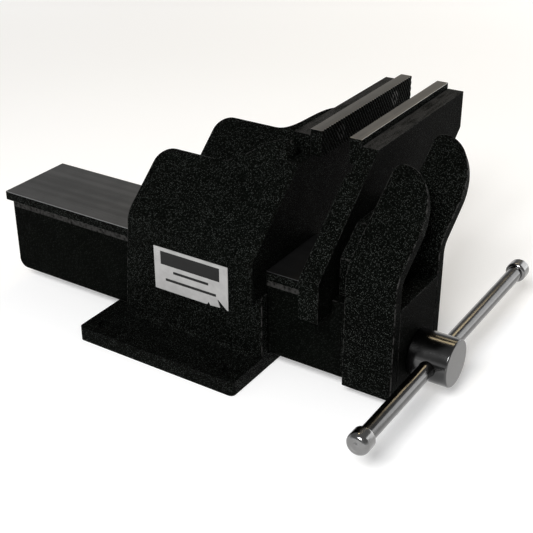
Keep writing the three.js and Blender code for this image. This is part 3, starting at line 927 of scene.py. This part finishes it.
spindle_steel = steel_finish("oiled_spindle_steel", 0.26, 0.06, 0.28, (0.6, 6.0, 6.0))
root = spindle_radius - thread_depth
shoulder = collar_rear - seam_gap
core = turned(
    [
        *rounded(spindle_low.x, root, 0.002, -1),
        (shoulder - plain_end - 0.001, root),
        (shoulder - plain_end, spindle_radius),
        (shoulder, spindle_radius),
        (shoulder, journal_radius),
        (spindle_high.x, journal_radius),
    ],
    (0.0, spindle_axis), 0,
)
core_mesh = bpy.data.meshes.new("spindle_core")
core.to_mesh(core_mesh)
core.free()
thread = Recipe("spindle_thread", Pitch=thread_pitch, Depth=thread_depth, Root=root)
threaded_length = shoulder - plain_end - spindle_low.x - 0.004
spiral = thread.node(
    "GeometryNodeCurveSpiral", None,
    {
        "Resolution": 36, "Rotations": threaded_length / thread_pitch,
        "Start Radius": root, "End Radius": root, "Height": threaded_length,
    },
)
spiral = thread.node("GeometryNodeSetCurveNormal", {"mode": "Z_UP"}, {"Curve": spiral})
crest = thread.node(
    "GeometryNodeCurvePrimitiveQuadrilateral", {"mode": "TRAPEZOID"},
    {"Bottom Width": 0.0036, "Top Width": 0.0019, "Offset": 0.0, "Height": thread.size("Depth") * 2.0},
)
sockets = {"Curve": spiral, "Profile Curve": crest, "Fill Caps": True}
ridge = thread.node("GeometryNodeCurveToMesh", None, sockets)
thread_start = (spindle_low.x + 0.002, 0.0, spindle_axis)
sockets = {"Geometry": ridge, "Rotation": (0.0, quarter, 0.0), "Translation": thread_start}
ridge = thread.node("GeometryNodeTransform", None, sockets)
both = thread.node("GeometryNodeJoinGeometry", None, {"Geometry": thread.start})
thread.tree.links.new(ridge.socket, both.socket.node.inputs["Geometry"])
thread.close(both, spindle_steel)
add_piece("threaded_spindle", thread.make(core_mesh), "screw", "plain_steel", ["spindle"], spindle_steel)

axle = (0.0, spindle_axis)
collar_steel = steel_finish("turned_collar_steel", 0.22, 0.05, 0.3, (1.0, 8.0, 8.0))
for node in ("retaining_collar", "thrust_washer", "collar_pin", "head_pin"):
    part = broken_edges(clean_copy(node), fine_edge_radius)
    add_solid(f"turned_{node}", part, "screw", "plain_steel", [node], collar_steel)


# ---- Spindle head ---------------------------------------------------------------------------
# A round steel head, turned and plated bright, with a cross hole for the handle. Its front face
# shows the faint rings of the lathe tool.


def bright_plate(name, centre, axis, ring_depth, shade):
    """Bright plating over turned steel: a fine grain round the axis and rings on the end faces."""
    plate = Finish(name)
    offset = plate.node("ShaderNodeVectorMath", {"operation": "SUBTRACT"}, {0: plate.place, 1: centre})
    flat = tuple(0.0 if i == axis else 1.0 for i in range(3))
    radial = plate.node("ShaderNodeVectorMath", {"operation": "MULTIPLY"}, {0: offset, 1: flat})
    distance = plate.node("ShaderNodeVectorMath", {"operation": "LENGTH"}, {0: radial}, "Value")
    wobble = plate.grain(0.004, detail=2.0)
    turns = distance * (2 * math.pi / 0.0009) + wobble * 6.0
    rings = turns.maths("SINE", turns) * 0.5 + 0.5
    haze = plate.grain(0.007, detail=5.0)
    scratch = plate.ramp(plate.grain(0.0006, (8.0, 1.0, 1.0), 3.0), 0.66, 0.74)
    plate.surface({
        "Base Color": plate.mix(haze, grey(shade * 0.8), grey(shade * 1.2)),
        "Roughness": 0.10 + haze * 0.10 + scratch * 0.12 + rings * 0.02,
        "Metallic": 1.0,
    })
    plate.bump(rings * 0.5 + haze * 0.5, ring_depth, 0.35)
    return plate.material


def bored(solid, cutter):
    """Takes one solid out of another."""
    things = []
    for shape in (solid, cutter):
        mesh = bpy.data.meshes.new("bored")
        shape.to_mesh(mesh)
        shape.free()
        things.append(bpy.data.objects.new("bored", mesh))
        scene.collection.objects.link(things[-1])
    bore = things[0].modifiers.new("bore", "BOOLEAN")
    bore.object = things[1]
    bore.solver = "EXACT"
    result = bmesh.new()
    result.from_mesh(plain_mesh(things[0]))
    for thing in things:
        bpy.data.objects.remove(thing)
    return result


head_low, head_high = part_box("spindle_head")
head_radius = (head_high.y - head_low.y) / 2
head_rim = 0.0012
bar_low, bar_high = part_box("handle_bar")
bar_radius = (bar_high.x - bar_low.x) / 2
bar_x = (bar_low.x + bar_high.x) / 2
cross_hole = 0.00635
head = turned(
    [*rounded(head_low.x, head_radius, head_rim, -1), *rounded(head_high.x, head_radius, head_rim, 1)],
    axle, 0, 128,
)
drill_reach = 0.03
drill = turned([(-drill_reach, cross_hole), (drill_reach, cross_hole)], (bar_x, spindle_axis), 1)
head_plate = bright_plate("bright_head_plate", (0.0, 0.0, spindle_axis), 0, 0.00004, 0.08)
add_solid("plated_spindle_head", bored(head, drill), "screw", "bright_plate", ["spindle_head"], head_plate)


# ---- Handle ---------------------------------------------------------------------------------
# A plated bar that slides through the head, with a turned knob pressed on each end to stop it.

handle_middle = (bar_x, spindle_axis)
bar_plate = bright_plate("bright_bar_plate", (bar_x, 0.0, spindle_axis), 1, 0.00003, 0.11)
knob_plate = bright_plate("bright_knob_plate", (bar_x, 0.0, spindle_axis), 1, 0.00004, 0.21)
bar = turned([(bar_low.y, bar_radius), (bar_high.y, bar_radius)], handle_middle, 1, 96)
add_solid("plated_handle_bar", bar, "handle", "bright_plate", ["handle_bar"], bar_plate)

knob_inner_rim = 0.0022
knob_outer_rim = 0.0042
knob_crown = 0.0012
for side, outward in (("left", -1), ("right", 1)):
    node = f"handle_knob_{side}"
    low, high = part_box(node)
    radius = (high.x - low.x) / 2
    inner, outer = (high.y, low.y) if outward < 0 else (low.y, high.y)
    end = outer - outward * knob_crown
    profile = [
        *rounded(inner, radius, knob_inner_rim, -outward, 6)[::outward],
        *rounded(end, radius, knob_outer_rim, outward, 8)[::outward],
        (outer - outward * knob_crown * 0.35, radius * 0.33),
        (outer, radius * 0.16),
        (outer, 0.0),
    ]
    knob = turned(profile, handle_middle, 1)
    add_solid(f"plated_{node}", knob, "handle", "bright_plate", [node], knob_plate)
